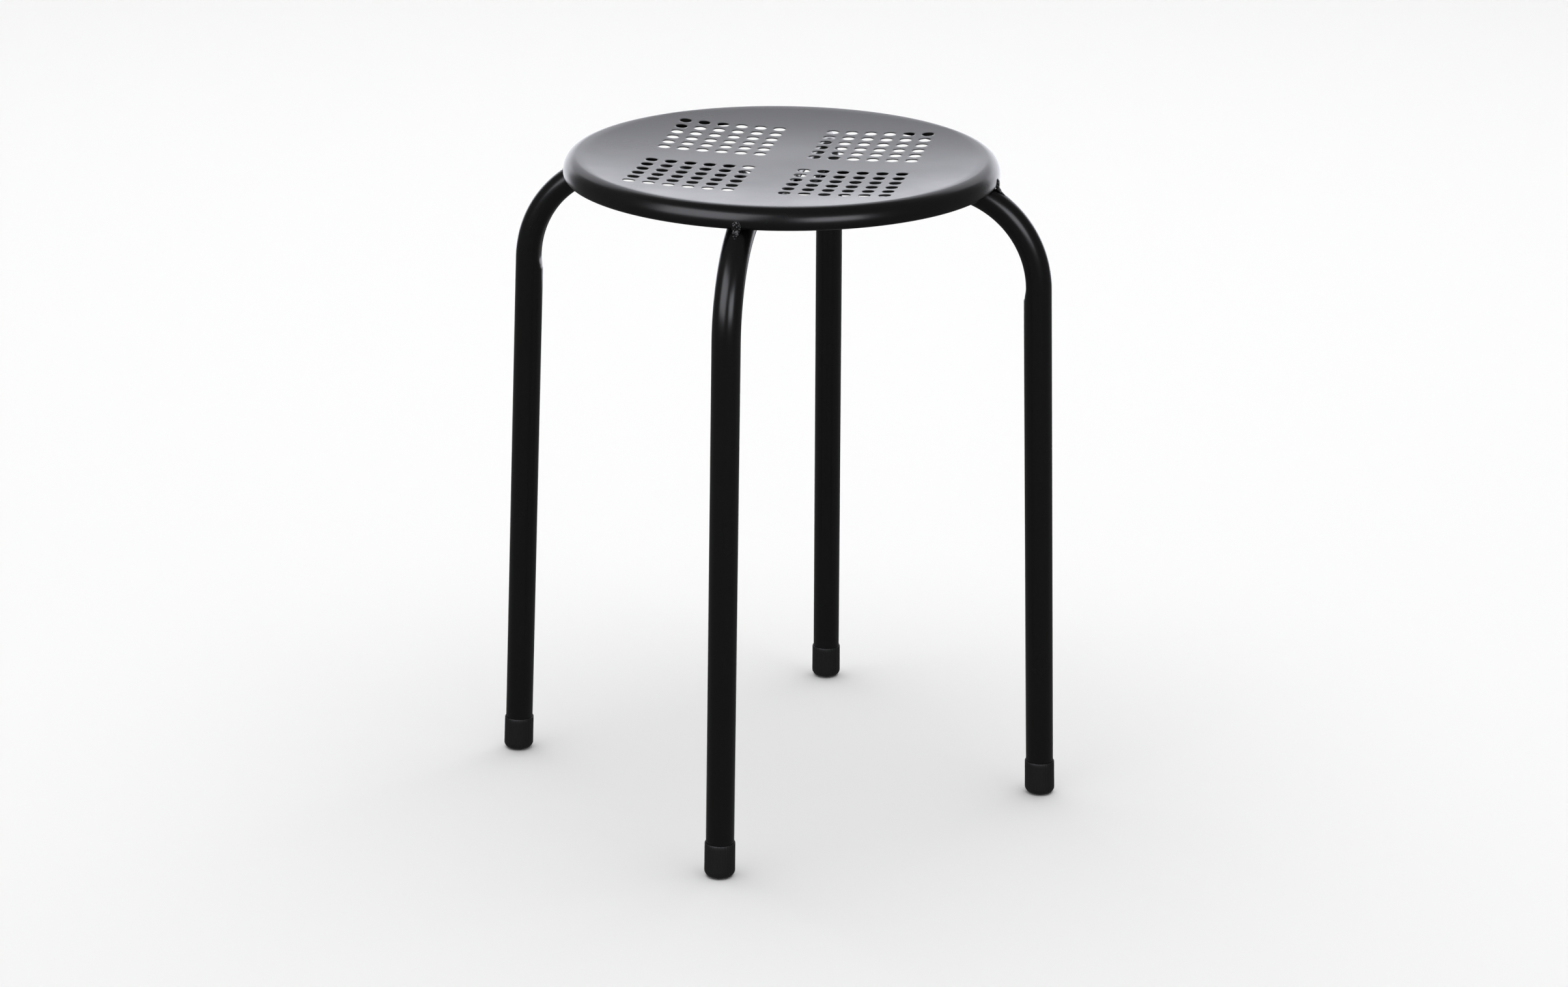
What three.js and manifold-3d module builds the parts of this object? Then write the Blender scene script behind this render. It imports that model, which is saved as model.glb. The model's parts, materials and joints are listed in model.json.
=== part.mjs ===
// Stacking stool: a round, dished seat of perforated sheet steel on two crossed hoops of steel
// tube. Each hoop is one bent tube and makes two of the four legs, and each leg ends in a ribbed
// plastic foot cap. Millimetres, +Z up. The origin lies on the floor under the middle of the
// seat. X runs to the right leg and Y to the back leg, along the two bare lanes of the seat.

import * as THREE from 'three';
import { mergeVertices } from 'three/addons/utils/BufferGeometryUtils.js';
import Module from 'manifold-3d';

// Seat, pressed from one sheet
const SEAT_HEIGHT = 450;      // floor to the crest of the rolled rim
const SEAT_DIAMETER = 296;
const SHEET = 0.8;
const CREST_INSET = 9;        // from the outer edge in to the crest
const ROLL_HEIGHT = 12.8;     // from the crest down to where the rim stands upright
const EDGE_RADIUS = 2.4;      // outside radius of the turned-in lower edge
const DISH_DEPTH = 6.5;       // from the crest down to the middle of the seat
const DISH_POWER = 3;         // how the dish rises outwards: level in the middle, steeper outside

// Holes, punched in four square groups with a bare cross between them
const HOLE_DIAMETER = 8;
const HOLE_PITCH = 13.4;
const FIRST_ROW = 19;         // from a centre line of the seat to the first row of holes
const FIELD_MARGIN = 4;       // least plain metal between a group's corner and the crest

// Tube hoops
const TUBE_DIAMETER = 19;
const TUBE_WALL = 1.2;
const BEND_RADIUS = 70;       // to the tube's axis
const SPLAY = THREE.MathUtils.degToRad(1.9);
const BEND_PRESS = 1.7;       // how far the bending press flattens the inside of a bend
const PRESS_FADE = 9;         // length over which that flat runs out into the round leg
const SADDLE_FLAT = 44;       // length of the flat pressed into the lower hoop's top
const NOTCH_FLAT = 25;        // length of the flat pressed into the upper hoop's underside
const FLAT_FADE = 11;         // length over which either flat runs out
const FLAT_WIDENING = 1;      // how far the pressed tube bulges on each side

// Foot caps
const CAP_HEIGHT = 24;
const CAP_WALL = 0.55;        // at the valleys between the ribs
const CAP_FLOOR = 3;
const CAP_EDGE = 4;           // height and reach of the rounded lower edge
const CAP_LIP = 0.6;          // height of the bevel at the mouth
const RIB_HEIGHT = 0.25;
const CAP_FLARE = 0.1;        // how much wider the cap is at the bottom than at the mouth

// Weld beads
const BEAD_ON_RIM = 4.5;      // how far a bead reaches up the rim from its lower edge
const BEAD_ON_TUBE = 12;      // how far it reaches down the bend from the rim
const BEAD_WIDTH = 8.4;
const BEAD_THICKNESS = 6;
const BEAD_SEAT_SHARE = 0.35; // how far the lump is moved from its middle into the corner
const CROSS_BEAD_LENGTH = 14;
const CROSS_BEAD_SIZE = 6;

const SEAT_CLEARANCE = 0.35;  // between the seat's underside and the hoops, at the least
const TOUCH_GAP = 0.3;        // between pieces that touch
const CAP_FIT = 0.2;          // between a tube and the cap on it

// Facets
const TUBE_SIDES = 16;
const BEND_STEPS = 10;
const HOLE_SIDES = 8;
const ROLL_STEPS = 5;
const EDGE_STEPS = 2;
const BAND_STEPS = 2;         // rings of facets between the hole field and the crest
const CAP_EDGE_STEPS = 2;
const BEAD_SIDES = 10;
const RING_SIDES = 120;
const RUN_SAMPLES = 100;      // places along a run where the room under the seat is measured

const steelPaint = { color: 0x1b1b1d, roughness: 0.42, metalness: 0 };
const seatMaterial = new THREE.MeshStandardMaterial(steelPaint);
const tubeMaterial = new THREE.MeshStandardMaterial(steelPaint);
const weldMaterial = new THREE.MeshStandardMaterial({ ...steelPaint, roughness: 0.5 });
const capMaterial = new THREE.MeshStandardMaterial({ color: 0x171717, roughness: 0.7, metalness: 0 });

const wasm = await Module();
wasm.setup();

// Sizes that follow from the driving ones
const seatRadius = SEAT_DIAMETER / 2;
const crestRadius = seatRadius - CREST_INSET;
const seatMiddle = SEAT_HEIGHT - DISH_DEPTH;
const rimUpright = SEAT_HEIGHT - ROLL_HEIGHT;
const rimBottom = rimUpright - EDGE_RADIUS;
const lipRadius = seatRadius - EDGE_RADIUS;
const tubeRadius = TUBE_DIAMETER / 2;

// Height of the seat's upper face, a shallow dish that ends at the crest
function seatTop(radius) {
  return seatMiddle + DISH_DEPTH * (radius / crestRadius) ** DISH_POWER;
}

// Triangles of one closed body, gathered as plain corner points
class Facets {
  constructor() {
    this.corners = [];
  }

  triangle(a, b, c) {
    this.corners.push(a, b, c);
  }

  quad(a, b, c, d) {
    this.triangle(a, b, c);
    this.triangle(a, c, d);
  }

  // Skin between two rings with the same number of points
  band(ring, next) {
    ring.forEach((point, i) => {
      const j = (i + 1) % ring.length;
      this.quad(point, next[i], next[j], ring[j]);
    });
  }

  // Skin between a ring and one with twice as many points
  doublingBand(ring, next) {
    ring.forEach((point, i) => {
      const after = ring[(i + 1) % ring.length];
      const [first, middle, last] = [0, 1, 2].map((step) => next[(2 * i + step) % next.length]);
      this.triangle(point, first, middle);
      this.triangle(point, middle, after);
      this.triangle(after, middle, last);
    });
  }

  fan(ring) {
    for (let i = 1; i + 1 < ring.length; i += 1) this.triangle(ring[0], ring[i], ring[i + 1]);
  }

  geometry() {
    const loose = new THREE.BufferGeometry().setFromPoints(this.corners);
    const joined = mergeVertices(loose);
    joined.computeVertexNormals();
    return joined;
  }
}

function reversed(ring) {
  return [...ring].reverse();
}

// Seat pan

const laneHalf = FIRST_ROW - HOLE_PITCH / 2;
const fieldReach = (crestRadius - FIELD_MARGIN) / Math.SQRT2;
const holesPerSide = Math.floor((fieldReach - laneHalf) / HOLE_PITCH);

// Grid lines of the hole field: the middle of a lane, its edge, then one pitch after another
function fieldLines() {
  const half = Array.from({ length: holesPerSide + 1 }, (_, i) => laneHalf + i * HOLE_PITCH);
  return [...half.map((x) => -x).reverse(), 0, ...half];
}

function onTop(x, y) {
  return new THREE.Vector3(x, y, seatTop(Math.hypot(x, y)));
}

function onUnderside(x, y) {
  return new THREE.Vector3(x, y, seatTop(Math.hypot(x, y)) - SHEET);
}

function addPlainCell(facets, x0, x1, y0, y1) {
  facets.quad(onTop(x0, y0), onTop(x1, y0), onTop(x1, y1), onTop(x0, y1));
  facets.quad(onUnderside(x0, y0), onUnderside(x0, y1), onUnderside(x1, y1), onUnderside(x1, y0));
}

// One square of the field with its punched hole: two facets reach from each corner to the hole,
// and one from each side
function addHoleCell(facets, x0, x1, y0, y1) {
  const middle = [(x0 + x1) / 2, (y0 + y1) / 2];
  const corners = [[x1, y1], [x0, y1], [x0, y0], [x1, y0]];
  const rim = Array.from({ length: HOLE_SIDES }, (_, i) => {
    const angle = (i / HOLE_SIDES) * 2 * Math.PI;
    const reach = HOLE_DIAMETER / 2;
    return [middle[0] + reach * Math.cos(angle), middle[1] + reach * Math.sin(angle)];
  });
  const perCorner = HOLE_SIDES / corners.length;
  for (const [face, flip] of [[onTop, false], [onUnderside, true]]) {
    const add = (a, b, c) => {
      const points = [a, b, c].map(([x, y]) => face(x, y));
      facets.triangle(...(flip ? reversed(points) : points));
    };
    corners.forEach((corner, k) => {
      for (let i = 0; i < perCorner; i += 1) {
        const at = k * perCorner + i;
        add(corner, rim[(at + 1) % HOLE_SIDES], rim[at]);
      }
      const nextCorner = corners[(k + 1) % corners.length];
      add(corner, nextCorner, rim[((k + 1) * perCorner) % HOLE_SIDES]);
    });
  }
  rim.forEach((point, i) => {
    const next = rim[(i + 1) % HOLE_SIDES];
    facets.quad(onTop(...next), onUnderside(...next), onUnderside(...point), onTop(...point));
  });
}

// Points where the grid lines meet the edge of the field, counter-clockwise
function fieldEdge(lines) {
  const reach = lines[lines.length - 1];
  const along = lines.slice(0, -1);
  return [
    ...along.map((t) => [reach, t]),
    ...along.map((t) => [-t, reach]),
    ...along.map((t) => [-reach, -t]),
    ...along.map((t) => [t, -reach]),
  ];
}

// The rim's sheet in section, from just past the crest down to the turned-in edge
function rimProfile(inset) {
  const points = [];
  for (let i = 1; i <= ROLL_STEPS; i += 1) {
    const angle = (i / ROLL_STEPS) * (Math.PI / 2);
    const radius = crestRadius + (CREST_INSET - inset) * Math.sin(angle);
    points.push([radius, rimUpright + (ROLL_HEIGHT - inset) * Math.cos(angle)]);
  }
  for (let i = 1; i <= EDGE_STEPS; i += 1) {
    const angle = (i / EDGE_STEPS) * (Math.PI / 2);
    const edge = EDGE_RADIUS - inset;
    points.push([lipRadius + edge * Math.cos(angle), rimUpright - edge * Math.sin(angle)]);
  }
  return points;
}

function seatPan() {
  const facets = new Facets();
  const lines = fieldLines();
  const isLane = (a, b) => Math.abs(a + b) / 2 < laneHalf;
  for (let i = 0; i + 1 < lines.length; i += 1) {
    for (let j = 0; j + 1 < lines.length; j += 1) {
      const cell = [lines[i], lines[i + 1], lines[j], lines[j + 1]];
      const plain = isLane(cell[0], cell[1]) || isLane(cell[2], cell[3]);
      if (plain) addPlainCell(facets, ...cell);
      else addHoleCell(facets, ...cell);
    }
  }
  const edge = fieldEdge(lines).map(([x, y]) => new THREE.Vector2(x, y));
  const bandRing = (step, face) => edge.map((point) => {
    const reach = THREE.MathUtils.lerp(point.length(), crestRadius, step / BAND_STEPS);
    const out = point.clone().setLength(reach);
    return face(out.x, out.y);
  });
  const profileRing = ([radius, height]) => edge.map((point) => {
    const out = point.clone().setLength(radius);
    return new THREE.Vector3(out.x, out.y, height);
  });
  const steps = Array.from({ length: BAND_STEPS + 1 }, (_, i) => i);
  const upper = [...steps.map((i) => bandRing(i, onTop)), ...rimProfile(0).map(profileRing)];
  const lower = [
    ...steps.map((i) => bandRing(i, onUnderside)),
    ...rimProfile(SHEET).map(profileRing),
  ];
  const rings = [...upper, ...lower.reverse()];
  for (let i = 0; i + 1 < rings.length; i += 1) facets.band(rings[i], rings[i + 1]);
  return facets.geometry();
}

// Tube hoops

// The run slopes down to the middle, because pressing the crossing kinks the tube there. That
// kink is what splays the legs: each bend is square. The run is as high as it fits under the
// dished seat, and the bend passes just under the seat's turned-in edge, where it is welded.
const slope = Math.tan(SPLAY);

function highestRun() {
  const halfThickness = tubeRadius / Math.cos(SPLAY);
  const rooms = Array.from({ length: RUN_SAMPLES + 1 }, (_, i) => {
    const radius = (i / RUN_SAMPLES) * crestRadius;
    return seatTop(radius) - SHEET - SEAT_CLEARANCE - halfThickness - radius * slope;
  });
  return Math.min(...rooms);
}

const crossingHeight = highestRun();

// The centre of a bend lies on a line parallel to the run. It is where the outside of the bend
// comes one touch gap from the seat's turned-in edge.
function bendCentre() {
  const lineStart = new THREE.Vector2(0, crossingHeight - BEND_RADIUS / Math.cos(SPLAY));
  const along = new THREE.Vector2(Math.cos(SPLAY), Math.sin(SPLAY));
  const toEdge = new THREE.Vector2(lipRadius, rimBottom).sub(lineStart);
  const reach = BEND_RADIUS + tubeRadius + TOUCH_GAP;
  const room = Math.max(reach ** 2 - toEdge.cross(along) ** 2, 0);
  return lineStart.clone().addScaledVector(along, toEdge.dot(along) - Math.sqrt(room));
}

const bend = bendCentre();
const legAtFloor = bend.x + BEND_RADIUS / Math.cos(SPLAY) + bend.y * slope;
const legEnd = CAP_FLOOR + TOUCH_GAP;

function smooth(t) {
  const clamped = THREE.MathUtils.clamp(t, 0, 1);
  return clamped ** 2 * (3 - 2 * clamped);
}

// Stations along one half of a hoop, from the crossing out and down to the foot: a point of the
// axis, the direction away from the inside of the bend, and how much the press has flattened it
function halfHoop() {
  const up = new THREE.Vector2(-Math.sin(SPLAY), Math.cos(SPLAY));
  const out = new THREE.Vector2(Math.cos(SPLAY), Math.sin(SPLAY));
  const stations = [];
  const marks = [
    0,
    NOTCH_FLAT / 2,
    SADDLE_FLAT / 2,
    NOTCH_FLAT / 2 + FLAT_FADE,
    SADDLE_FLAT / 2 + FLAT_FADE,
  ];
  [...marks].sort((a, b) => a - b).forEach((x) => {
    stations.push({ at: new THREE.Vector2(x, crossingHeight + x * slope), away: up, press: 0 });
  });
  const runEnd = bend.clone().addScaledVector(up, BEND_RADIUS);
  const beforeBend = runEnd.clone().addScaledVector(out, -PRESS_FADE);
  stations.push({ at: beforeBend, away: up, press: 0 });
  for (let i = 0; i <= BEND_STEPS; i += 1) {
    const angle = SPLAY + (1 - i / BEND_STEPS) * (Math.PI / 2);
    const away = new THREE.Vector2(Math.cos(angle), Math.sin(angle));
    stations.push({ at: bend.clone().addScaledVector(away, BEND_RADIUS), away, press: 1 });
  }
  const legStart = stations[stations.length - 1].at;
  const down = new THREE.Vector2(Math.sin(SPLAY), -Math.cos(SPLAY));
  stations.push({ at: legStart.clone().addScaledVector(down, PRESS_FADE), away: out, press: 0 });
  const endHeight = legEnd + tubeRadius * Math.sin(SPLAY);
  const toEnd = (legStart.y - endHeight) / Math.cos(SPLAY);
  stations.push({ at: legStart.clone().addScaledVector(down, toEnd), away: out, press: 0 });
  return stations;
}

// Whole hoop, foot to foot, in its own plane
function wholeHoop() {
  const half = halfHoop();
  const mirrored = half.slice(1).reverse().map(({ at, away, press }) => ({
    at: new THREE.Vector2(-at.x, at.y),
    away: new THREE.Vector2(-away.x, away.y),
    press,
  }));
  return [...mirrored, ...half];
}

// How far the flat of the crossing is pressed in at a distance from the middle: 1 in the flat
function crossingPress(distance, flatLength) {
  return 1 - smooth((Math.abs(distance) - flatLength / 2) / FLAT_FADE);
}

// One ring of a tube's skin, in the hoop's own plane. side is +1 where the crossing's flat is on
// top, -1 where it is underneath. depth is how far this skin lies inside the outer one.
function tubeRing(station, side, flatLength, depth) {
  const radius = tubeRadius - depth;
  const flat = crossingPress(station.at.x, flatLength);
  const limit = crossingHeight - side * (TOUCH_GAP / 2 + depth);
  const floor = -radius + station.press * BEND_PRESS;
  return Array.from({ length: TUBE_SIDES }, (_, i) => {
    const angle = (i / TUBE_SIDES) * 2 * Math.PI;
    const reach = Math.max(radius * Math.cos(angle), floor);
    const across = (radius + flat * FLAT_WIDENING) * Math.sin(angle);
    const point = station.at.clone().addScaledVector(station.away, reach);
    const pressed = side > 0 ? Math.min(point.y, limit) : Math.max(point.y, limit);
    return new THREE.Vector3(point.x, across, THREE.MathUtils.lerp(point.y, pressed, flat));
  });
}

function tubeSkin(side, flatLength, depth) {
  return wholeHoop().map((station) => tubeRing(station, side, flatLength, depth));
}

function legHoop(side, flatLength) {
  const facets = new Facets();
  const skin = tubeSkin(side, flatLength, 0);
  const bore = tubeSkin(side, flatLength, TUBE_WALL).reverse();
  const rings = [...skin, ...bore, skin[0]];
  for (let i = 0; i + 1 < rings.length; i += 1) facets.band(rings[i], rings[i + 1]);
  return facets.geometry();
}

// A hoop without its bore and one touch gap larger all round, to cut the weld beads with
function hoopCutter(side, flatLength) {
  const facets = new Facets();
  const skin = tubeSkin(side, flatLength, -TOUCH_GAP);
  for (let i = 0; i + 1 < skin.length; i += 1) facets.band(skin[i], skin[i + 1]);
  facets.fan(skin[0]);
  facets.fan(reversed(skin[skin.length - 1]));
  return facets.geometry();
}

// Foot caps

// A cap follows the leaning leg, but each of its rings is level, so it stands flat on the floor
function capRing(height, radius, sides, rib = 0) {
  const centre = legAtFloor - height * slope;
  return Array.from({ length: sides }, (_, i) => {
    const angle = (i / sides) * 2 * Math.PI;
    const reach = radius + (i % 2 === 0 ? 0 : rib);
    return new THREE.Vector3(centre + reach * Math.cos(angle), reach * Math.sin(angle), height);
  });
}

function footCap() {
  const facets = new Facets();
  const ribbedSides = 2 * TUBE_SIDES;
  const capBore = tubeRadius / Math.cos(SPLAY) + CAP_FIT;
  const mouthRadius = capBore + CAP_WALL;
  const wallRadius = (height) => mouthRadius + CAP_FLARE * (1 - height / CAP_HEIGHT);
  const outer = [];
  for (let i = 0; i <= CAP_EDGE_STEPS; i += 1) {
    const angle = (i / CAP_EDGE_STEPS) * (Math.PI / 2);
    const height = CAP_EDGE * (1 - Math.cos(angle));
    const radius = wallRadius(CAP_EDGE) - CAP_EDGE * (1 - Math.sin(angle));
    outer.push(capRing(height, radius, ribbedSides, RIB_HEIGHT * Math.sin(angle)));
  }
  const lipHeight = CAP_HEIGHT - CAP_LIP;
  outer.push(capRing(lipHeight, wallRadius(lipHeight), ribbedSides, RIB_HEIGHT));
  const mouth = capRing(CAP_HEIGHT, capBore, TUBE_SIDES);
  const well = capRing(CAP_FLOOR, capBore, TUBE_SIDES);
  facets.fan(reversed(outer[0]));
  for (let i = 0; i + 1 < outer.length; i += 1) facets.band(outer[i + 1], outer[i]);
  facets.doublingBand(mouth, outer[outer.length - 1]);
  facets.band(well, mouth);
  facets.fan(well);
  return facets.geometry();
}

// Weld beads: lumps cut to fit the corner between the two pieces that they join

function toSolid(geometry) {
  const bare = geometry.clone();
  bare.deleteAttribute('normal');
  if (bare.hasAttribute('uv')) bare.deleteAttribute('uv');
  const merged = mergeVertices(bare);
  return new wasm.Manifold(new wasm.Mesh({
    numProp: 3,
    vertProperties: merged.getAttribute('position').array,
    triVerts: new Uint32Array(merged.index.array),
  }));
}

function fromSolid(solid) {
  const { vertProperties, triVerts } = solid.getMesh();
  const geometry = new THREE.BufferGeometry();
  geometry.setAttribute('position', new THREE.BufferAttribute(vertProperties, 3));
  geometry.setIndex(new THREE.BufferAttribute(triVerts, 1));
  geometry.computeVertexNormals();
  return geometry;
}

// Everything that a bead at the rim must stay out of on the seat's side: the rim one touch gap
// larger all round, and the hollow behind it down past the bead
function rimCutter() {
  const inner = crestRadius - BEAD_ON_TUBE;
  const below = rimBottom - BEAD_ON_TUBE;
  const profile = [
    [inner, below],
    [lipRadius, below],
    ...rimProfile(-TOUCH_GAP).reverse(),
    [crestRadius, SEAT_HEIGHT + TOUCH_GAP],
    [inner, SEAT_HEIGHT + TOUCH_GAP],
    [inner, below],
  ].map(([radius, height]) => new THREE.Vector2(radius, height));
  return new THREE.LatheGeometry(profile, RING_SIDES).rotateX(Math.PI / 2);
}

// A lump with its length along Z, its width along Y and its thickness along X
function lump(length, width, thickness) {
  const ball = new THREE.SphereGeometry(1, BEAD_SIDES, BEAD_SIDES / 2);
  return ball.rotateX(Math.PI / 2).scale(thickness / 2, width / 2, length / 2);
}

// The bead runs from the rim's outer side over the corner and down the outside of the bend
function rimWeld() {
  const reach = BEND_RADIUS + tubeRadius;
  const cornerAngle = Math.acos((seatRadius - bend.x) / reach);
  const lowAngle = cornerAngle - BEAD_ON_TUBE / reach;
  const onBend = (angle) => new THREE.Vector2(Math.cos(angle), Math.sin(angle))
    .multiplyScalar(reach).add(bend);
  const corner = onBend(cornerAngle);
  const low = onBend(lowAngle);
  const high = new THREE.Vector2(seatRadius, rimBottom + BEAD_ON_RIM);
  const centre = high.clone().lerp(low, 1 / 2).lerp(corner, BEAD_SEAT_SHARE);
  const lean = Math.atan2(high.x - low.x, high.y - low.y);
  const shape = lump(high.distanceTo(low), BEAD_WIDTH, BEAD_THICKNESS).rotateY(lean);
  shape.translate(centre.x, 0, centre.y);
  const hoop = toSolid(hoopCutter(1, SADDLE_FLAT));
  return fromSolid(toSolid(shape).subtract(toSolid(rimCutter())).subtract(hoop));
}

// The bead fills the corner between the upper hoop's side and the flat on the lower hoop
function crossingWeld() {
  const shape = lump(CROSS_BEAD_SIZE, CROSS_BEAD_LENGTH, CROSS_BEAD_SIZE);
  shape.translate(tubeRadius + FLAT_WIDENING, 0, crossingHeight + TOUCH_GAP);
  const lower = toSolid(hoopCutter(1, SADDLE_FLAT));
  const upper = toSolid(hoopCutter(-1, NOTCH_FLAT).rotateZ(Math.PI / 2));
  return fromSolid(toSolid(shape).subtract(lower).subtract(upper));
}

// Assembly

const stool = new THREE.Group();
stool.name = 'stacking_stool';

function addPiece(name, geometry, material, turn = 0) {
  const mesh = new THREE.Mesh(geometry, material);
  mesh.name = name;
  mesh.rotation.z = turn;
  stool.add(mesh);
}

addPiece('seat_pan', seatPan(), seatMaterial);
addPiece('leg_hoop_left_right', legHoop(1, SADDLE_FLAT), tubeMaterial);
addPiece('leg_hoop_front_back', legHoop(-1, NOTCH_FLAT), tubeMaterial, Math.PI / 2);

const footCapShape = footCap();
const rimWeldShape = rimWeld();
['right', 'back', 'left', 'front'].forEach((place, i) => {
  const turn = (i * Math.PI) / 2;
  addPiece(`foot_cap_${place}`, footCapShape, capMaterial, turn);
  addPiece(`rim_weld_${place}`, rimWeldShape, weldMaterial, turn);
});

const crossingWeldShape = crossingWeld();
addPiece('crossing_weld_right', crossingWeldShape, weldMaterial);
addPiece('crossing_weld_left', crossingWeldShape, weldMaterial, Math.PI);

export default stool;
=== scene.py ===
# %% [markdown]
# A stacking stool of perforated steel.
#
# The stool is a shallow dish pressed from one steel sheet, punched with four groups of holes, on
# two crossed hoops of bent steel tube. The hoops make the four legs, and each leg ends in a ribbed
# plastic cap. Everything but the caps is powder coated in a satin black.
#
# The construction comes packed, as a frame of faceted solids at their real size. This notebook
# models each piece again with round holes, smooth bends and fine ribs, in the place that the frame
# gives it, and then finishes the surfaces and lights them.

# %% Load the frame
import json
import math

import bmesh
import bpy
from mathutils import Matrix, Vector

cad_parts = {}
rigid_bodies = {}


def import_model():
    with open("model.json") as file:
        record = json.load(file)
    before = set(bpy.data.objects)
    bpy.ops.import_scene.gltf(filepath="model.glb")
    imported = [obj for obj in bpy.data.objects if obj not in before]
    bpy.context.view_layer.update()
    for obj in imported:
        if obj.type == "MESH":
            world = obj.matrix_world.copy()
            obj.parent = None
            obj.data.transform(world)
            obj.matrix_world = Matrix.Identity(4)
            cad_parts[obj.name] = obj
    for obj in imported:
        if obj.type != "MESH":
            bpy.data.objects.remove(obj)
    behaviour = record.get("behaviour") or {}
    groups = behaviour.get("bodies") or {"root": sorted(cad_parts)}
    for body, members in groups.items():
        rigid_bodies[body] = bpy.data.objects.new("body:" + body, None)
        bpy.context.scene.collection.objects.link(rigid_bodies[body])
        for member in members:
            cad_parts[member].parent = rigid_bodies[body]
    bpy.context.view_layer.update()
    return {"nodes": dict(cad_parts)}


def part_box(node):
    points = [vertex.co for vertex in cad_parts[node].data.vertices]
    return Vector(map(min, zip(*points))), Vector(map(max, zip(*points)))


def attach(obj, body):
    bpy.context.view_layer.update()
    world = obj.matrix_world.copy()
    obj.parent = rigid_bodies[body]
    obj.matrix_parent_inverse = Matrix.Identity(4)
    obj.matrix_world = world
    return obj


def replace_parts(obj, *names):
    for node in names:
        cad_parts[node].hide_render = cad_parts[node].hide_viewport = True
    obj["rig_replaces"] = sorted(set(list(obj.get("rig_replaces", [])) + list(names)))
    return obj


MM = 0.001

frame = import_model()
seat_low, seat_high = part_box("seat_pan")
print("nodes", len(frame["nodes"]), "seat from", seat_low[:], "to", seat_high[:])

# %% [markdown]
# Most modelling here is the same few moves: choose some points by their place, extrude them, and
# put the new points somewhere. These helpers say that in one line each. They work on the object
# that is being edited, so each of them can be typed into the console as well.

# %% Helpers for modelling


def edited_mesh():
    return bmesh.from_edit_mesh(bpy.context.object.data)


def show_edit():
    bmesh.update_edit_mesh(bpy.context.object.data)


def start_edit():
    bpy.ops.object.mode_set(mode="EDIT")
    bpy.ops.mesh.select_mode(type="VERT")


def end_edit():
    bpy.ops.object.mode_set(mode="OBJECT")


def select_where(test):
    """Selects the points whose place passes the test, and the edges and faces between them."""
    bpy.ops.mesh.select_all(action="DESELECT")
    mesh = edited_mesh()
    for point in mesh.verts:
        point.select = test(point.co)
    mesh.select_flush(True)
    show_edit()


def move_points(place, only_selected=False):
    """Gives each point the place that the function works out from its present one."""
    for point in edited_mesh().verts:
        if point.select or not only_selected:
            point.co = place(point.co)
    show_edit()


def extrude_by(step):
    bpy.ops.mesh.extrude_region_move(TRANSFORM_OT_translate={"value": step})


def next_ring(scale, rise):
    """Extrudes the selected ring up, then widens it about the stool's axis."""
    extrude_by((0, 0, rise))
    bpy.ops.transform.resize(value=(scale, scale, 1), center_override=(0, 0, 0))


def add_modifier(kind, **settings):
    """Adds a modifier with these settings to the active object, and applies it."""
    piece = bpy.context.object
    bpy.ops.object.modifier_add(type=kind)
    modifier = piece.modifiers[-1]
    for name, value in settings.items():
        setattr(modifier, name, value)
    bpy.ops.object.modifier_apply(modifier=modifier.name)


def face_outwards(towards=None):
    """Turns all faces out, or, on an open sheet, so that most of them look in a direction."""
    start_edit()
    bpy.ops.mesh.select_all(action="SELECT")
    bpy.ops.mesh.normals_make_consistent(inside=False)
    if towards is not None:
        facing = sum((face.normal * face.calc_area() for face in edited_mesh().faces), Vector())
        if facing.dot(towards) < 0:
            bpy.ops.mesh.flip_normals()
    end_edit()


def finish_piece(name, sharp_degrees):
    """Names the active object, smooths its shading and lets it ride on the stool's one body."""
    piece = bpy.context.object
    piece.name = name
    piece.data.name = name
    bpy.ops.object.transform_apply(location=True, rotation=True, scale=True)
    bpy.ops.object.shade_smooth_by_angle(angle=math.radians(sharp_degrees))
    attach(piece, "root")
    print(name, len(piece.data.polygons), "faces")
    return piece


def turned_copy(piece, name, degrees):
    """A copy with its own mesh, turned about the stool's axis."""
    copy = piece.copy()
    copy.data = piece.data.copy()
    copy.name = name
    copy.data.name = name
    bpy.context.collection.objects.link(copy)
    copy.data.transform(Matrix.Rotation(math.radians(degrees), 4, "Z"))
    return copy


def smooth_step(t):
    clamped = min(max(t, 0), 1)
    return clamped**2 * (3 - 2 * clamped)


def softer_max(a, b, blend):
    """The larger of two values, with the corner between them rounded."""
    overlap = max(blend - abs(a - b), 0)
    return max(a, b) + overlap**2 / (4 * blend)


# %% [markdown]
# The seat is one sheet of steel. A press dishes it by a few millimetres, so that it is comfortable
# and doesn't flex, and rolls its edge down and a little inwards, so that no raw edge meets a hand.
#
# A boolean cut with 144 cylinders would give holes too, but also long thin triangles that shade
# badly on a curved, glossy sheet. So one square of the pattern is modelled instead: a circle,
# whose points are extruded out to a square. It is repeated with array modifiers, mirrored into the
# four groups, and the dish is given to the flat sheet afterwards, as the press does it.

# %% One punched square of the pattern
# The holes are 0.3 mm wider than the frame's, and SHEET below is thinner than the frame's sheet,
# so that they let as much light through as the holes in the photograph.
HOLE_DIAMETER = 8.3 * MM
HOLE_PITCH = 13.4 * MM
FIRST_ROW = 19 * MM
HOLES_PER_SIDE = 6
HOLE_SIDES = 24
SQUARE_SHARES = (0.4, 1)

first_hole = Vector((FIRST_ROW, FIRST_ROW, 0))


def onto_square(place, share):
    """Moves a point of the hole's edge part of the way out to the square round the hole."""
    arm = place - first_hole
    reach = HOLE_PITCH / 2 / max(abs(arm.x), abs(arm.y))
    return first_hole + arm * (1 + share * (reach - 1))


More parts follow.
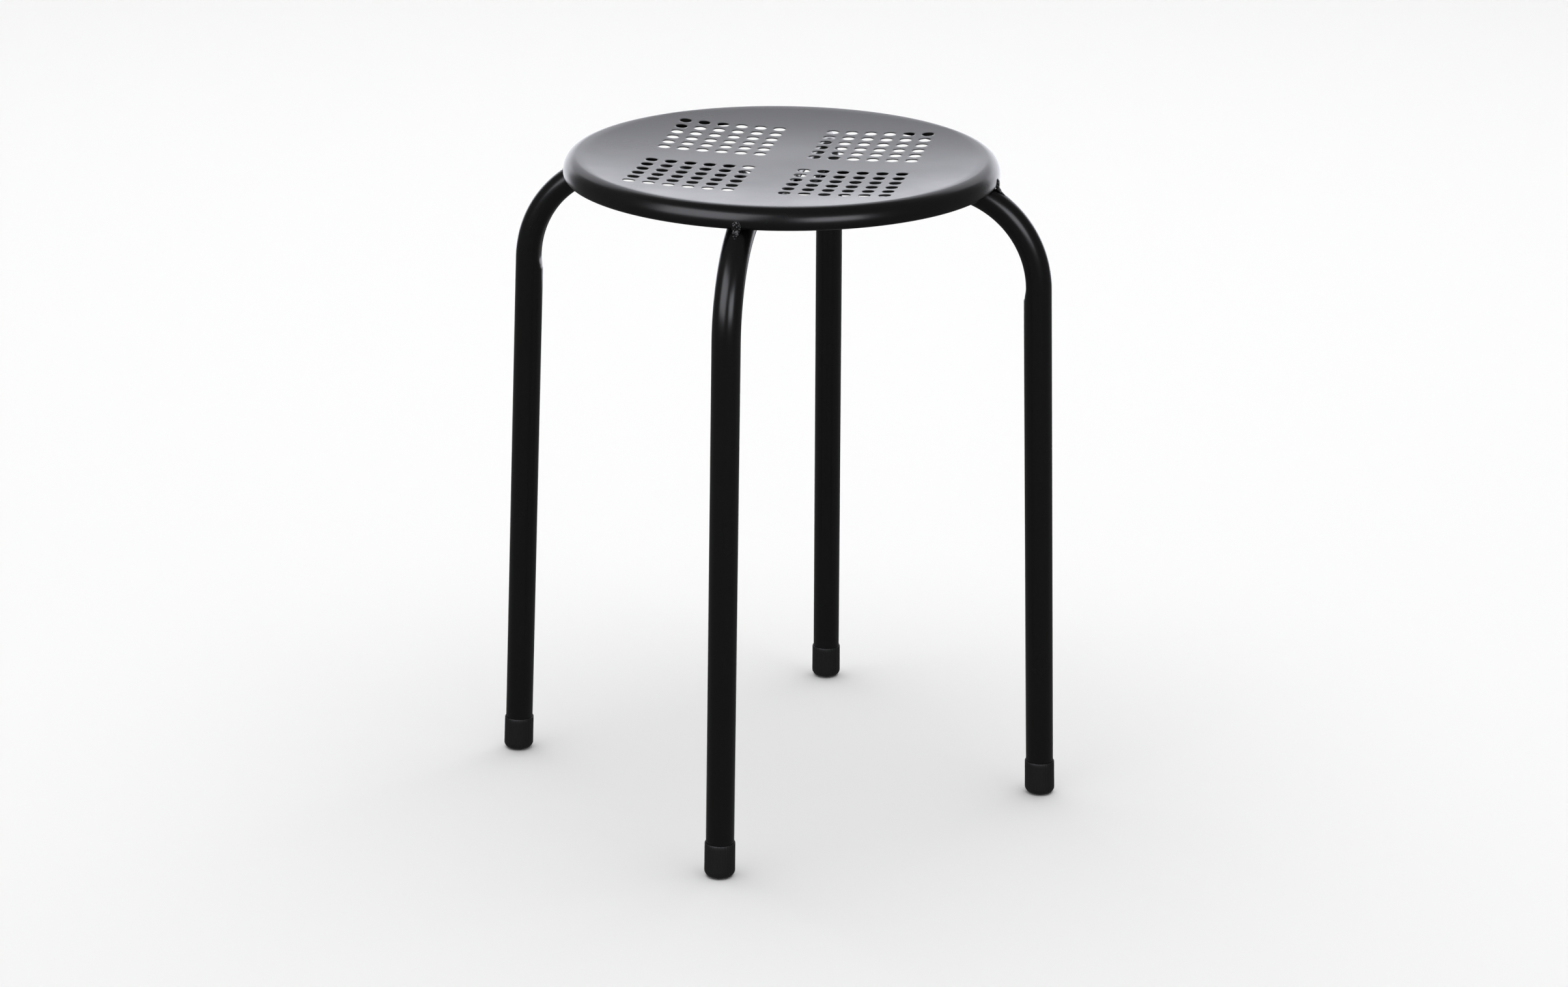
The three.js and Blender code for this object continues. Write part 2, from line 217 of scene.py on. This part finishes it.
bpy.ops.object.select_all(action="DESELECT")
bpy.ops.mesh.primitive_circle_add(
    vertices=HOLE_SIDES, radius=HOLE_DIAMETER / 2, location=first_hole
)
bpy.ops.object.transform_apply(location=True)
start_edit()
bpy.ops.mesh.select_all(action="SELECT")
for share in SQUARE_SHARES:
    extrude_by((0, 0, 0))
    move_points(lambda place: onto_square(place, share), only_selected=True)
end_edit()
print("one punched square:", len(bpy.context.object.data.polygons), "faces")

# %% Repeat it into a group, and add the bare lanes
MERGE = 0.01 * MM
lane_half = FIRST_ROW - HOLE_PITCH / 2
field_reach = lane_half + HOLES_PER_SIDE * HOLE_PITCH
LANE_STEPS = 2

for direction in (Vector((HOLE_PITCH, 0, 0)), Vector((0, HOLE_PITCH, 0))):
    add_modifier(
        "ARRAY",
        count=HOLES_PER_SIDE,
        use_relative_offset=False,
        use_constant_offset=True,
        constant_offset_displace=direction,
        use_merge_vertices=True,
        merge_threshold=MERGE,
    )
start_edit()
lane_step = -lane_half / LANE_STEPS
select_where(lambda place: abs(place.x - lane_half) < MERGE)
for _ in range(LANE_STEPS):
    extrude_by((lane_step, 0, 0))
select_where(lambda place: abs(place.y - lane_half) < MERGE)
for _ in range(LANE_STEPS):
    extrude_by((0, lane_step, 0))
end_edit()
add_modifier("MIRROR", use_axis=(True, True, False), merge_threshold=MERGE)
print("the punched field:", len(bpy.context.object.data.polygons), "faces")

# %% Carry the square field out to the round crest
# The photograph shows a crest that is softer and a little lower than the frame's faceted one, so
# the pressed sheet stays CREST_DROP below the frame's top there.
CREST_INSET = 9 * MM
CREST_DROP = 0.7 * MM
BAND_STEPS = 7
seat_radius = seat_high.x
crest_radius = seat_radius - CREST_INSET

start_edit()
select_where(lambda place: max(abs(place.x), abs(place.y)) > field_reach - MERGE)
for step in range(BAND_STEPS):
    share = 1 / (BAND_STEPS - step)
    extrude_by((0, 0, 0))
    move_points(
        lambda place: place.normalized() * (place.length + share * (crest_radius - place.length)),
        only_selected=True,
    )

# %% Press the dish into it
DISH_DEPTH = 5.8 * MM
DISH_POWER = 3
seat_height = seat_high.z - CREST_DROP
seat_middle = seat_height - DISH_DEPTH


def seat_top(radius):
    """Height of the seat's upper face, a shallow dish that ends at the crest."""
    return seat_middle + DISH_DEPTH * (radius / crest_radius) ** DISH_POWER


move_points(lambda place: Vector((place.x, place.y, seat_top(place.xy.length))))

# %% Roll the rim down and turn its edge in
ROLL_HEIGHT = 10.9 * MM
EDGE_RADIUS = 2.4 * MM
ROLL_STEPS = 12
EDGE_STEPS = 5

rim_outline = []
for step in range(ROLL_STEPS + 1):
    angle = step / ROLL_STEPS * math.pi / 2
    rim_outline.append((
        crest_radius + CREST_INSET * math.sin(angle),
        seat_height - ROLL_HEIGHT * (1 - math.cos(angle)),
    ))
for step in range(EDGE_STEPS + 1):
    angle = step / EDGE_STEPS * math.pi / 2
    rim_outline.append((
        seat_radius - EDGE_RADIUS * (1 - math.cos(angle)),
        seat_low.z + EDGE_RADIUS * (1 - math.sin(angle)),
    ))

select_where(lambda place: place.xy.length > crest_radius - MERGE)
for (radius, height), (next_radius, next_height) in zip(rim_outline, rim_outline[1:]):
    next_ring(next_radius / radius, next_height - height)
end_edit()
face_outwards(towards=Vector((0, 0, 1)))

# %% Give the sheet its thickness and soften the punched edges
SHEET = 0.6 * MM
PUNCH_EDGE = 0.1 * MM
PUNCH_EDGE_ANGLE = math.radians(55)
SEAT_SHARP_DEGREES = 50

add_modifier("SOLIDIFY", thickness=SHEET, offset=-1, use_even_offset=True)
add_modifier("BEVEL", width=PUNCH_EDGE, segments=2, angle_limit=PUNCH_EDGE_ANGLE)
seat = finish_piece("perforated_seat", SEAT_SHARP_DEGREES)
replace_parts(seat, "seat_pan")

# %% [markdown]
# Each hoop is one length of steel tube, bent square over a former at two places. The former leaves
# the inside of each bend slightly flat. Where the hoops cross, both are pressed half flat, so that
# they lie at one height. The press also kinks each tube there, and that kink splays the legs.
#
# A curve with a round bevel would be quicker, but a flat can't be pressed into it. So half a hoop
# is made as a pipe bender makes it: a ring is extruded up the leg, spun round the bend and
# extruded along the run. It is mirrored, and the flats are then pressed into its points.

# %% Sizes of a hoop
TUBE_DIAMETER = 19 * MM
TUBE_WALL = 1.2 * MM
BEND_RADIUS = 70 * MM
SPLAY = math.radians(1.9)
BEND_PRESS = 1.7 * MM
PRESS_FADE = 9 * MM
PRESS_BLEND = 2.4 * MM
SADDLE_FLAT = 44 * MM
NOTCH_FLAT = 25 * MM
FLAT_FADE = 11 * MM
FLAT_WIDENING = 1 * MM
FLAT_BLEND = 2 * MM
TOUCH_GAP = 0.3 * MM
SEAT_CLEARANCE = 0.55 * MM
RUN_SAMPLES = 100
TUBE_SIDES = 48
BEND_STEPS = 45
HOOP_SHARP_DEGREES = 40

tube_radius = TUBE_DIAMETER / 2
hoop_low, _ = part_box("leg_hoop_left_right")
leg_slope = math.tan(SPLAY)
away_from_run = Vector((-math.sin(SPLAY), 0, math.cos(SPLAY)))
away_from_leg = Vector((math.cos(SPLAY), 0, math.sin(SPLAY)))

# The runs under the seat just clear the sheet, wherever along the dish that is, and the outside of
# each bend just clears the seat's turned-in edge. The two give the bend's centre. The crest's drop
# is added back here, so that the hoops stay where the frame has them.
clearances = []
for step in range(RUN_SAMPLES + 1):
    radius = step / RUN_SAMPLES * crest_radius
    clearances.append(
        seat_top(radius) + CREST_DROP * (radius / crest_radius) ** DISH_POWER
        - SHEET - SEAT_CLEARANCE - tube_radius / math.cos(SPLAY) - radius * leg_slope
    )
crossing_height = min(clearances)
rim_edge = Vector((rim_outline[-1][0], 0, rim_outline[-1][1]))
to_edge = rim_edge - Vector((0, 0, crossing_height - BEND_RADIUS / math.cos(SPLAY)))
reach = BEND_RADIUS + tube_radius + TOUCH_GAP
across = to_edge.dot(away_from_run)
bend_centre = rim_edge - away_from_run * across
bend_centre -= away_from_leg * math.sqrt(reach**2 - across**2)
leg_at_floor = bend_centre.x + BEND_RADIUS / math.cos(SPLAY) + bend_centre.z * leg_slope
leg_end = hoop_low.z
foot = Vector((leg_at_floor - leg_end * leg_slope, 0, leg_end))
leg_start = (bend_centre + away_from_leg * BEND_RADIUS - foot).length
print("bend centre", bend_centre[:], "crossing at", crossing_height)

# %% Half a hoop, from the foot to past the middle
LEG_STEPS = 14
RUN_STEPS = 40
FADE_STEPS = 6


def extrude_steps(vector, steps):
    for _ in range(steps):
        extrude_by(vector / steps)


bpy.ops.object.select_all(action="DESELECT")
bpy.ops.mesh.primitive_circle_add(
    vertices=TUBE_SIDES, radius=tube_radius, location=foot, rotation=(0, -SPLAY, 0)
)
bpy.ops.object.transform_apply(location=True, rotation=True)
start_edit()
bpy.ops.mesh.select_all(action="SELECT")
extrude_steps(away_from_run * (leg_start - PRESS_FADE), LEG_STEPS)
extrude_steps(away_from_run * PRESS_FADE, FADE_STEPS)
bpy.ops.mesh.spin(
    steps=BEND_STEPS, angle=math.pi / 2, center=bend_centre, axis=(0, 1, 0), use_auto_merge=False
)
run_end = bend_centre + away_from_run * BEND_RADIUS
past_middle = run_end.x / math.cos(SPLAY) + tube_radius * math.tan(SPLAY) + TOUCH_GAP
extrude_steps(-away_from_leg * PRESS_FADE, FADE_STEPS)
extrude_steps(-away_from_leg * (past_middle - PRESS_FADE), RUN_STEPS)
end_edit()
half_hoop = bpy.context.object
print("half a hoop:", len(half_hoop.data.polygons), "faces")

# %% Press the flats into it


def press_bend(place):
    """The former flattens the inside of the bend, and the flat runs out into the tube."""
    arm = Vector((place.x, 0, place.z)) - bend_centre
    below, before = -arm.dot(away_from_run), -arm.dot(away_from_leg)
    if below > 0:
        away, past = away_from_leg, below
    elif before > 0:
        away, past = away_from_run, before
    else:
        away, past = arm.normalized(), 0
    reach = arm.dot(away) - BEND_RADIUS
    floor = -tube_radius + BEND_PRESS * (1 - smooth_step(past / PRESS_FADE))
    pressed = softer_max(reach, floor, PRESS_BLEND) if past < PRESS_FADE else reach
    return place + away * (pressed - reach)


def press_crossing(place, side, flat_length):
    """Flattens the top (side 1) or the underside (side -1) of the tube at the crossing."""
    flat = 1 - smooth_step((abs(place.x) - flat_length / 2) / FLAT_FADE)
    if flat == 0 or place.z < bend_centre.z:
        return place
    limit = side * crossing_height - TOUCH_GAP / 2
    pressed = -side * softer_max(-side * place.z, -limit, FLAT_BLEND)
    widened = place.y * (1 + flat * FLAT_WIDENING / tube_radius)
    return Vector((place.x, widened, place.z + flat * (pressed - place.z)))


def whole_hoop(name, side, flat_length, turn):
    """A pressed hoop from the half one, mirrored and given its wall."""
    bpy.ops.object.select_all(action="DESELECT")
    half_hoop.select_set(True)
    bpy.context.view_layer.objects.active = half_hoop
    bpy.ops.object.duplicate()
    start_edit()
    move_points(press_bend)
    end_edit()
    add_modifier(
        "MIRROR", use_axis=(True, False, False), use_bisect_axis=(True, False, False),
        merge_threshold=MERGE,
    )
    start_edit()
    move_points(lambda place: press_crossing(place, side, flat_length))
    end_edit()
    face_outwards()
    add_modifier("SOLIDIFY", thickness=TUBE_WALL, offset=-1)
    bpy.context.object.data.transform(Matrix.Rotation(turn, 4, "Z"))
    return finish_piece(name, HOOP_SHARP_DEGREES)


lower_hoop = whole_hoop("bent_hoop_left_right", 1, SADDLE_FLAT, 0)
upper_hoop = whole_hoop("bent_hoop_front_back", -1, NOTCH_FLAT, math.pi / 2)
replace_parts(lower_hoop, "leg_hoop_left_right")
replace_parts(upper_hoop, "leg_hoop_front_back")
bpy.data.objects.remove(half_hoop)

# %% [markdown]
# A foot cap is moulded from polyethylene and pushed on the end of a leg. Its fine upright ribs let
# the mould release it and give a hand some grip. It follows the leaning leg, but its rings stay
# level, so that it stands flat on the floor.
#
# An outline could be spun into the cap in one step, but the ribs need its points in rows. So a
# circle is drawn for the flat underneath and extruded ring by ring along the outline, up the
# outside and down into the bore. The ribs are then pushed out by a wave.

# %% One foot cap, upright at the middle of the stool
CAP_HEIGHT = 24 * MM
CAP_WALL = 0.39 * MM
CAP_FLOOR = 3 * MM
CAP_EDGE = 4 * MM
CAP_LIP = 0.6 * MM
CAP_FLARE = 0.1 * MM
CAP_FIT = 0.2 * MM
RIB_HEIGHT = 0.2 * MM
RIBS = 36
POINTS_PER_RIB = 6
EDGE_RINGS = 6
WALL_RINGS = 8
CAP_SHARP_DEGREES = 35

cap_bore = tube_radius / math.cos(SPLAY) + CAP_FIT
mouth_radius = cap_bore + CAP_WALL


def cap_radius(height):
    return mouth_radius + CAP_FLARE * (1 - height / CAP_HEIGHT)


cap_outline = []
for step in range(EDGE_RINGS + 1):
    angle = step / EDGE_RINGS * math.pi / 2
    cap_outline.append((
        cap_radius(CAP_EDGE) - CAP_EDGE * (1 - math.sin(angle)),
        CAP_EDGE * (1 - math.cos(angle)),
    ))
lip_height = CAP_HEIGHT - CAP_LIP
for step in range(1, WALL_RINGS + 1):
    height = CAP_EDGE + step / WALL_RINGS * (lip_height - CAP_EDGE)
    cap_outline.append((cap_radius(height), height))
cap_outline += [
    (mouth_radius - CAP_LIP / 2, CAP_HEIGHT),
    (cap_bore, CAP_HEIGHT),
    (cap_bore, CAP_FLOOR),
]

bpy.ops.object.select_all(action="DESELECT")
bpy.ops.mesh.primitive_circle_add(
    vertices=RIBS * POINTS_PER_RIB, radius=cap_outline[0][0], fill_type="NGON"
)
start_edit()
bpy.ops.mesh.select_all(action="SELECT")
bpy.ops.mesh.inset(thickness=cap_outline[0][0] / 2)
select_where(lambda place: place.length > cap_outline[0][0] - MERGE)
for (radius, height), (next_radius, next_height) in zip(cap_outline, cap_outline[1:]):
    next_ring(next_radius / radius, next_height - height)
bpy.ops.mesh.edge_face_add()


def push_out_ribs(place):
    radius = place.xy.length
    height = place.z
    if radius < cap_bore + CAP_WALL / 2 or height > lip_height + MERGE:
        return place
    rise = smooth_step(height / CAP_EDGE)
    wave = 0.5 + 0.5 * math.cos(RIBS * math.atan2(place.y, place.x))
    scale = 1 + RIB_HEIGHT * rise * wave / radius
    return Vector((place.x * scale, place.y * scale, height))


move_points(push_out_ribs)
end_edit()

# %% Lean it with the leg, and copy it to the four legs
PLACES = ("right", "back", "left", "front")

start_edit()
move_points(lambda place: place + Vector((leg_at_floor - place.z * leg_slope, 0, 0)))
end_edit()
face_outwards()
cap = finish_piece("ribbed_cap_right", CAP_SHARP_DEGREES)

caps = [cap]
for quarter, place_name in enumerate(PLACES[1:], start=1):
    caps.append(turned_copy(cap, f"ribbed_cap_{place_name}", 90 * quarter))
for piece, place_name in zip(caps, PLACES):
    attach(piece, "root")
    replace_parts(piece, f"foot_cap_{place_name}")

# %% [markdown]
# The welds are small, rough beads. They could be sculpted one by one, but at this size a stretched
# ball is enough. It is laid over its seam, and a cloud texture then pushes its surface in and out,
# as molten metal sets in lumps. The four beads at the rim are copies, and so are the two at the
# crossing.

# %% Weld beads
BEAD_WIDTH = 6 * MM
BEAD_TAPER = 0.5
BEAD_BLUNTNESS = 0.6
BEAD_THICKNESS = 2.2 * MM
BEAD_LENGTH = 11 * MM
BEAD_RISE = 0.5 * MM
BEAD_BLEND = 4 * MM
CROSS_BEAD_LENGTH = 14 * MM
CROSS_BEAD_SIZE = 6 * MM
LUMP_SIZE = 1.5 * MM
LUMP_HEIGHT = 1.2 * MM
BALL_DETAIL = 5
BEAD_SHARP_DEGREES = 80

weld_lumps = bpy.data.textures.new("weld_lumps", "CLOUDS")
weld_lumps.noise_scale = LUMP_SIZE
weld_lumps.noise_depth = 2


def weld_bead(name, size, place, replaced):
    """A lumpy bead. Each point of a stretched ball goes to the place that the function gives it."""
    bpy.ops.object.select_all(action="DESELECT")
    bpy.ops.mesh.primitive_ico_sphere_add(subdivisions=BALL_DETAIL, radius=0.5)
    start_edit()
    bpy.ops.mesh.select_all(action="SELECT")
    bpy.ops.transform.resize(value=size)
    move_points(place)
    end_edit()
    bead = bpy.context.object
    add_modifier(
        "DISPLACE", texture=weld_lumps, texture_coords="LOCAL", strength=LUMP_HEIGHT, mid_level=0.5
    )
    finish_piece(name, BEAD_SHARP_DEGREES)
    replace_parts(bead, replaced)
    return bead


def over_joint(point):
    """Lays the bead over the rim's side and the bend below it, and narrows its lower half."""
    height = rim_edge.z + BEAD_RISE + point.z
    bend_side = bend_centre.x + math.sqrt(
        (BEND_RADIUS + tube_radius) ** 2 - (height - bend_centre.z) ** 2
    )
    along = 2 * point.z / BEAD_LENGTH
    narrow = (1 + BEAD_BLUNTNESS * along**2) * (1 - (1 - BEAD_TAPER) * max(-along, 0))
    surface = softer_max(seat_radius, bend_side, BEAD_BLEND)
    return Vector((surface + point.x, point.y * narrow, height))


rim_bead = weld_bead(
    "weld_bead_right", (BEAD_THICKNESS, BEAD_WIDTH, BEAD_LENGTH), over_joint, "rim_weld_right"
)
for quarter, place_name in enumerate(PLACES[1:], start=1):
    bead = turned_copy(rim_bead, f"weld_bead_{place_name}", 90 * quarter)
    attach(bead, "root")
    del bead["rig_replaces"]
    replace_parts(bead, f"rim_weld_{place_name}")

cross_low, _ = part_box("crossing_weld_right")
cross_corner = Vector((cross_low.x, 0, cross_low.z))
cross_bead = weld_bead(
    "crossing_bead_right",
    (CROSS_BEAD_SIZE, CROSS_BEAD_LENGTH, CROSS_BEAD_SIZE),
    lambda point: cross_corner + point,
    "crossing_weld_right",
)
other_bead = turned_copy(cross_bead, "crossing_bead_left", 180)
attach(other_bead, "root")
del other_bead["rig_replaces"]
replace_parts(other_bead, "crossing_weld_left")

# %% [markdown]
# Finishes are built from nodes, because pictures of them would have to be unwrapped on every
# piece. Colours are written as the hex values that a paint shop would use, and one function turns
# them to the linear numbers that the shader works with. One small function adds a node, sets its
# sockets and links them.

# %% Helpers for materials


def linear(hex_colour):
    """The linear colour of an sRGB hex value."""
    channels = [int(hex_colour[i : i + 2], 16) / 255 for i in (1, 3, 5)]
    return [c / 12.92 if c <= 0.04045 else ((c + 0.055) / 1.055) ** 2.4 for c in channels] + [1]


def node(tree, kind, inputs=None, **settings):
    """Adds a node. Each input is a plain value, or the socket that is linked to it."""
    added = tree.nodes.new(kind)
    for name, value in settings.items():
        setattr(added, name, value)
    for name, value in (inputs or {}).items():
        if isinstance(value, bpy.types.NodeSocket):
            tree.links.new(value, added.inputs[name])
        else:
            added.inputs[name].default_value = value
    return added


def new_material(name):
    """An empty node material, and its output."""
    material = bpy.data.materials.new(name)
    material.use_nodes = True
    material.node_tree.nodes.clear()
    output = material.node_tree.nodes.new("ShaderNodeOutputMaterial")
    return material, material.node_tree, output


def paint_pieces(material, *pieces):
    for piece in pieces:
        piece.data.materials.clear()
        piece.data.materials.append(material)


# %% [markdown]
# Powder coat is a polyester dust that is sprayed on dry and baked until it flows together. It has
# no metal in it, so what the eye sees is a clear, dark plastic skin with a soft gloss. It never
# quite levels, and leaves a faint orange peel with lumps a few millimetres wide. The bump below
# draws that, with a finer grit on it, and a broad noise varies the roughness a little, as handling
# does.

# %% Satin black powder coat
PEEL_WIDTH = 3.5 * MM
PEEL_HEIGHT = 0.0035 * MM
GRIT_WIDTH = 0.7 * MM
GRIT_SHARE = 0.12
HANDLED_WIDTH = 45 * MM
HANDLED_ROUGHNESS = 0.02
COAT_IOR = 1.45
COAT_ROUGHNESS = 0.26
WELD_ROUGHNESS = 0.16
WELD_PEEL = 4


def powder_coat(name, colour, roughness, peel_height):
    material, tree, output = new_material(name)
    place = node(tree, "ShaderNodeTexCoord").outputs["Object"]
    peel = node(
        tree,
        "ShaderNodeTexNoise",
        {"Vector": place, "Scale": 1 / PEEL_WIDTH, "Detail": 1.0, "Roughness": 0.4},
    )
    grit = node(
        tree,
        "ShaderNodeTexNoise",
        {"Vector": place, "Scale": 1 / GRIT_WIDTH, "Detail": 2.0},
    )
    relief = node(
        tree,
        "ShaderNodeMath",
        {0: grit.outputs["Fac"], 1: GRIT_SHARE, 2: peel.outputs["Fac"]},
        operation="MULTIPLY_ADD",
    )
    bump = node(
        tree,
        "ShaderNodeBump",
        {"Height": relief.outputs["Value"], "Distance": peel_height, "Strength": 1.0},
    )
    handled = node(
        tree,
        "ShaderNodeTexNoise",
        {"Vector": place, "Scale": 1 / HANDLED_WIDTH, "Detail": 3.0},
    )
    gloss = node(
        tree,
        "ShaderNodeMapRange",
        {
            "Value": handled.outputs["Fac"],
            "From Min": 0.3,
            "From Max": 0.7,
            "To Min": roughness - HANDLED_ROUGHNESS,
            "To Max": roughness + HANDLED_ROUGHNESS,
        },
    )
    shader = node(
        tree,
        "ShaderNodeBsdfPrincipled",
        {
            "Base Color": linear(colour),
            "Metallic": 0.0,
            "Roughness": gloss.outputs["Result"],
            "IOR": COAT_IOR,
            "Normal": bump.outputs["Normal"],
        },
    )
    tree.links.new(shader.outputs["BSDF"], output.inputs["Surface"])
    return material


coated_steel = powder_coat("powder_coated_steel", "#080809", COAT_ROUGHNESS, PEEL_HEIGHT)
coated_weld = powder_coat("powder_coated_weld", "#101012", WELD_ROUGHNESS, WELD_PEEL * PEEL_HEIGHT)
paint_pieces(coated_steel, seat, lower_hoop, upper_hoop)

# %% [markdown]
# Polyethylene is waxy and takes the texture of its mould, so it scatters more light than the
# powder coat does and shows only a broad, dull highlight.

# %% Moulded polyethylene
MOULD_GRAIN = 0.35 * MM
MOULD_DEPTH = 0.02 * MM


def moulded_polyethylene(name, colour):
    material, tree, output = new_material(name)
    place = node(tree, "ShaderNodeTexCoord").outputs["Object"]
    grain = node(
        tree,
        "ShaderNodeTexNoise",
        {"Vector": place, "Scale": 1 / MOULD_GRAIN, "Detail": 2.0},
    )
    bump = node(
        tree,
        "ShaderNodeBump",
        {"Height": grain.outputs["Fac"], "Distance": MOULD_DEPTH, "Strength": 0.6},
    )
    shader = node(
        tree,
        "ShaderNodeBsdfPrincipled",
        {
            "Base Color": linear(colour),
            "Roughness": 0.5,
            "IOR": 1.5,
            "Normal": bump.outputs["Normal"],
        },
    )
    tree.links.new(shader.outputs["BSDF"], output.inputs["Surface"])
    return material


paint_pieces(moulded_polyethylene("moulded_polyethylene", "#0c0c0c"), *caps)
beads = [o for o in bpy.context.scene.objects if "_bead_" in o.name]
paint_pieces(coated_weld, *beads)

# %% [markdown]
# The stool stands in a white cove: a floor that curves up into a low wall all round. A flat floor
# would do too, but its edge would show behind the stool. The camera sees the cove, and it lights
# the stool, but reflections don't show it. In the photograph the dark faces mirror something far
# dimmer than white paper, and the dim world takes that place here.

# %% Cove
COVE_RADIUS = 5.5
COVE_CURVE = 1.2
COVE_HEIGHT = 2.2
COVE_STEPS = 10
COVE_SIDES = 96

bpy.ops.object.select_all(action="DESELECT")
bpy.ops.mesh.primitive_circle_add(vertices=COVE_SIDES, radius=COVE_RADIUS - COVE_CURVE)
start_edit()
bpy.ops.mesh.select_all(action="SELECT")
radius, height = COVE_RADIUS - COVE_CURVE, 0
for step in range(1, COVE_STEPS + 1):
    angle = step / COVE_STEPS * math.pi / 2
    next_radius = COVE_RADIUS - COVE_CURVE + COVE_CURVE * math.sin(angle)
    next_height = COVE_CURVE * (1 - math.cos(angle))
    next_ring(next_radius / radius, next_height - height)
    radius, height = next_radius, next_height
next_ring(1, COVE_HEIGHT - COVE_CURVE)
select_where(lambda place: place.z < MM)
bpy.ops.mesh.edge_face_add()
end_edit()
cove = bpy.context.object
cove.name = "studio_cove"
bpy.ops.object.shade_smooth()

cove_paint, tree, output = new_material("matt_studio_paint")
cove_shader = node(tree, "ShaderNodeBsdfDiffuse", {"Color": linear("#f9f9f9")})
tree.links.new(cove_shader.outputs["BSDF"], output.inputs["Surface"])
paint_pieces(cove_paint, cove)
cove.visible_glossy = False

# %% [markdown]
# Black paint shows its lamps more than its own colour. Two soft lights stand in front of the
# stool, one on the left and a lower one on the right, and two wide ones stand behind it, one above
# the other. They are seen in reflections only, so that they can be placed for the paint alone. One
# large lamp overhead does the opposite: reflections don't show it, and it lights the floor and the
# colours.

# %% Lamps and world
DAYLIGHT = "#f6f7ff"
LAMP_TARGET = Vector((0, 0, 0.4))
WORLD_LEVEL = 0.16


def softbox(name, colour, azimuth, elevation, distance, size, radiance):
    """A rectangular lamp that faces the stool. Azimuth 0 is in front and 90 to the right.

    Its power grows with its size, so that it stays as bright as its radiance says.
    """
    lamp = bpy.data.lights.new(name, "AREA")
    lamp.shape = "RECTANGLE"
    lamp.size, lamp.size_y = size
    lamp.energy = radiance * math.pi * size[0] * size[1]
    lamp.color = linear(colour)[:3]
    placed = bpy.data.objects.new(name, lamp)
    a, e = math.radians(azimuth), math.radians(elevation)
    out = Vector((math.sin(a) * math.cos(e), -math.cos(a) * math.cos(e), math.sin(e)))
    placed.location = LAMP_TARGET + out * distance
    placed.rotation_mode = "QUATERNION"
    placed.rotation_quaternion = out.to_track_quat("Z", "Y")
    placed.visible_camera = False
    bpy.context.collection.objects.link(placed)
    return placed


# Name, colour, azimuth, elevation, distance, width and height, radiance.
reflected = (
    softbox("left_softbox", DAYLIGHT, -31, 31.5, 2.6, (2.2, 1.8), 3.7),
    softbox("right_softbox", DAYLIGHT, 38, 20.5, 2.6, (1.35, 1.0), 4.8),
    softbox("back_softbox", DAYLIGHT, 189, 0.7, 1.7, (3.0, 1.0), 2.0),
    softbox("back_glow", DAYLIGHT, 189, 35, 1.9, (3.2, 1.0), 1.1),
)
for lamp in reflected:
    lamp.visible_diffuse = False
ceiling = softbox("ceiling_fill", "#ffffff", 190, 80, 3.6, (7.0, 7.0), 1.62)
ceiling.visible_glossy = False

world = bpy.data.worlds.new("dim_studio")
bpy.context.scene.world = world
world.use_nodes = True
background = world.node_tree.nodes["Background"]
background.inputs["Color"].default_value = linear("#ffffff")
background.inputs["Strength"].default_value = WORLD_LEVEL

# %% [markdown]
# The camera was solved from the photograph, by matching the holes, the rim and the feet. It stands
# 2.7 metres away and looks down by a little under 19 degrees, through a long lens.

# %% Camera
CAMERA_AZIMUTH = math.radians(11.29)
CAMERA_DISTANCE = 2691 * MM
CAMERA_HEIGHT = 1122.7 * MM
CAMERA_PITCH = math.radians(18.80)
CAMERA_ROLL = math.radians(0.57)
CAMERA_PAN = math.radians(-0.08)
FOCAL_PIXELS = 6271.5
PHOTO_WIDTH = 2408
SENSOR_WIDTH = 36
FAR_CLIP = 50

camera_data = bpy.data.cameras.new("photo_camera")
camera = bpy.data.objects.new("photo_camera", camera_data)
bpy.context.collection.objects.link(camera)
bpy.context.scene.camera = camera
camera_data.sensor_width = SENSOR_WIDTH
camera_data.lens = FOCAL_PIXELS / PHOTO_WIDTH * SENSOR_WIDTH
camera_data.clip_end = FAR_CLIP

pan = CAMERA_AZIMUTH + CAMERA_PAN
look = Vector((
    -math.sin(pan) * math.cos(CAMERA_PITCH),
    math.cos(pan) * math.cos(CAMERA_PITCH),
    -math.sin(CAMERA_PITCH),
))
sideways = Vector((math.cos(pan), math.sin(pan), 0))
upwards = sideways.cross(look)
turn = Matrix((sideways, upwards, -look)).transposed() @ Matrix.Rotation(CAMERA_ROLL, 3, "Z")
camera.rotation_mode = "QUATERNION"
camera.rotation_quaternion = turn.to_quaternion()
camera.location = (
    CAMERA_DISTANCE * math.sin(CAMERA_AZIMUTH),
    -CAMERA_DISTANCE * math.cos(CAMERA_AZIMUTH),
    CAMERA_HEIGHT,
)
print("camera at", camera.location[:])

# %% [markdown]
# The view transform is Standard, which shows the light levels without a film curve.

# %% View settings and the end
bpy.context.scene.view_settings.view_transform = "Standard"
